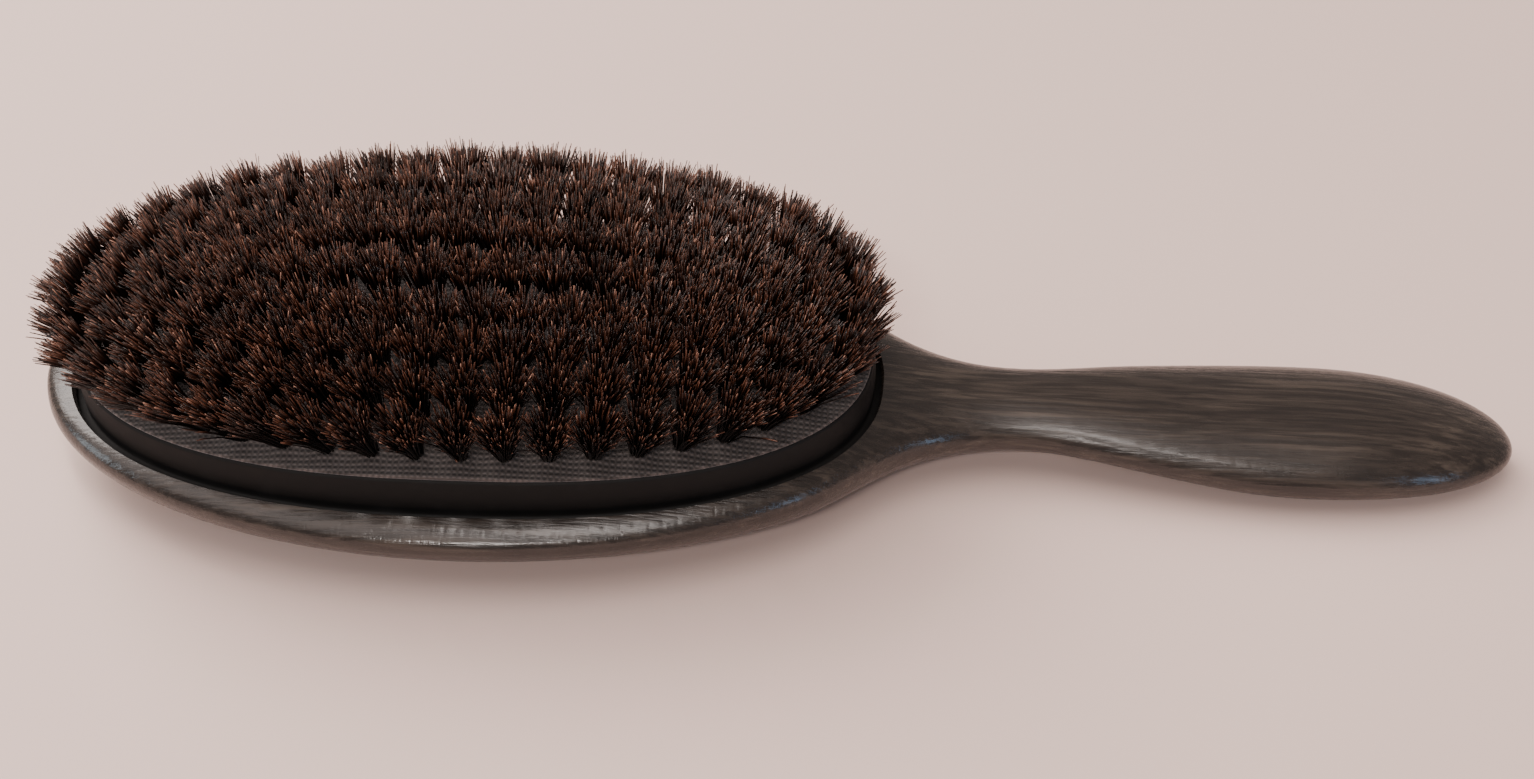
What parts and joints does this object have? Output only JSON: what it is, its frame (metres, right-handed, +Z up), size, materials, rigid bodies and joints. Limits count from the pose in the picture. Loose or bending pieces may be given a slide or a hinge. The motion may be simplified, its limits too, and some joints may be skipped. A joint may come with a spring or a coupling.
{
  "type": "oval cushion hairbrush",
  "caption": "Oval cushion paddle brush: one-piece wooden head and handle, sprung fabric-faced rubber air cushion, and rings of dark bristle tufts.",
  "frame": {"origin": "under the middle of the brush's length, on the surface that the brush lies on with its bristles up", "axes": "+X runs along the brush from the head's tip to the handle's end, +Y across it, +Z up on the bristle side"},
  "size_m": [0.225, 0.072, 0.0364],
  "materials": {
    "lacquered_wood": "dark streaky grain under gloss lacquer",
    "cushion_rubber": "smooth satin black",
    "cushion_fabric": "fine ribbed weave, dark grey",
    "backing_felt": "plain felt",
    "bristle": "natural bristle, dark brown with redder tips",
    "staple_wire": "plain wire"
  },
  "bodies": {
    "handle": {"brush_body": "lacquered_wood", "cushion_bead": "cushion_rubber", "cushion_skirt": "cushion_rubber"},
    "cushion": {"cushion_membrane": "cushion_rubber", "fabric_facing": "cushion_fabric", "anchor_backing": "backing_felt", "tuft_ring_1": "bristle", "tuft_ring_2": "bristle", "tuft_ring_3": "bristle", "tuft_ring_4": "bristle", "tuft_ring_5": "bristle", "tuft_staples_1": "staple_wire", "tuft_staples_2": "staple_wire", "tuft_staples_3": "staple_wire", "tuft_staples_4": "staple_wire", "tuft_staples_5": "staple_wire"}
  },
  "joints": [
    {"name": "cushion_press", "type": "slide", "parent": "handle", "child": "cushion", "axis": [0, 0, -1], "range_m": [0, 0.003], "stiffness_N_per_m": 600, "deforming": ["cushion_skirt"]}
  ]
}
